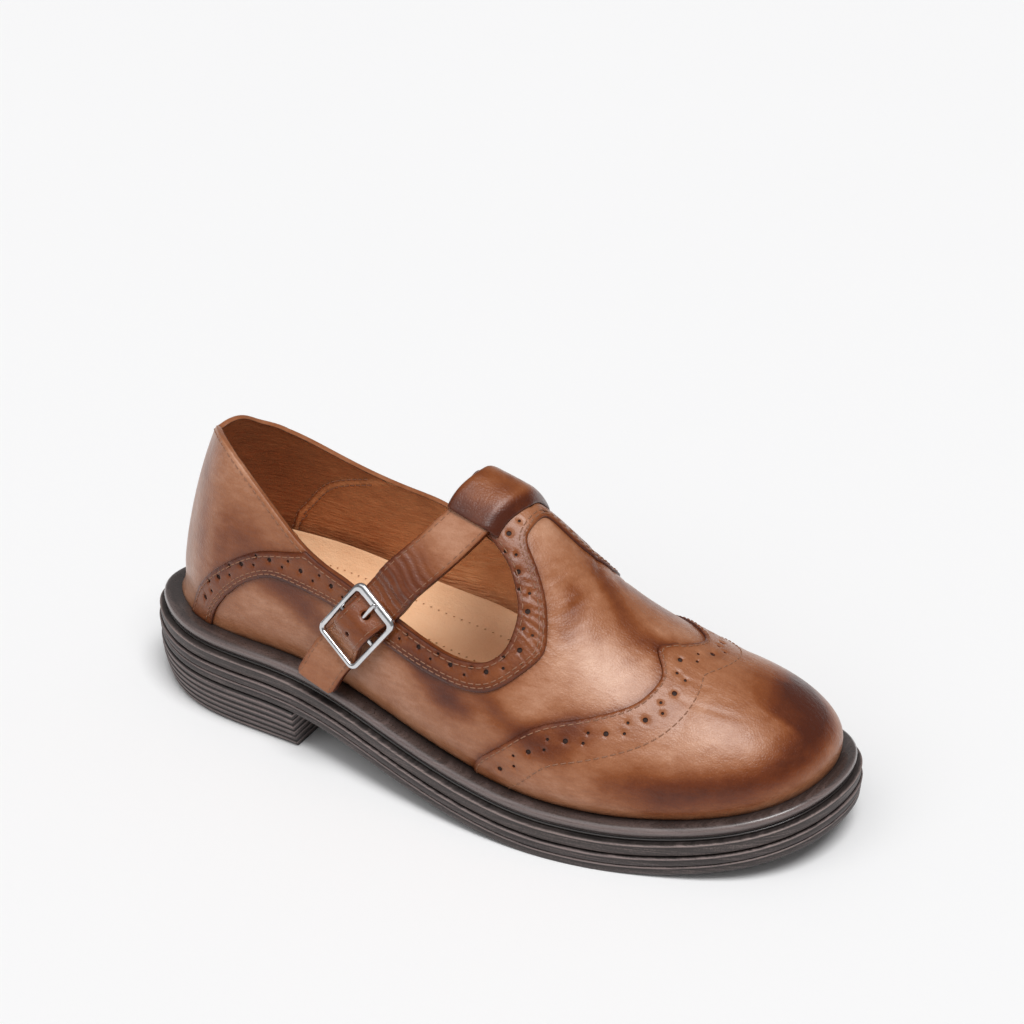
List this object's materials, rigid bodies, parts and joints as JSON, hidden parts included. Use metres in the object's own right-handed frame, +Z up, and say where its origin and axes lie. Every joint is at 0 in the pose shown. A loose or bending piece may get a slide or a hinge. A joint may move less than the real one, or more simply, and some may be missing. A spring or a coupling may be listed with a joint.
{
  "type": "mary jane shoe",
  "caption": "Women's T-bar mary jane shoe for the right foot: burnished brown leather, brogued wing cap and trim, buckled strap and ribbed rubber sole with a low heel.",
  "frame": {"origin": "middle of the sole outline's box, on the ground plane the heel and forefoot stand on", "axes": "+X to the toe, +Y to the medial side, +Z up"},
  "size_m": [0.272, 0.1036, 0.1152],
  "materials": {
    "burnished_leather": "burnished, semi-gloss",
    "dark_leather": "smooth, semi-gloss",
    "insole_leather": "satin, smooth",
    "sole_rubber": "satin",
    "buckle_metal": "polished, slightly worn"
  },
  "bodies": {
    "root": {"outsole": "sole_rubber", "midsole": "sole_rubber", "welt": "sole_rubber", "heel": "sole_rubber", "upper": "burnished_leather", "insole": "insole_leather", "strap": "burnished_leather", "tab": "dark_leather", "buckle": "buckle_metal", "prong": "buckle_metal"}
  },
  "joints": []
}
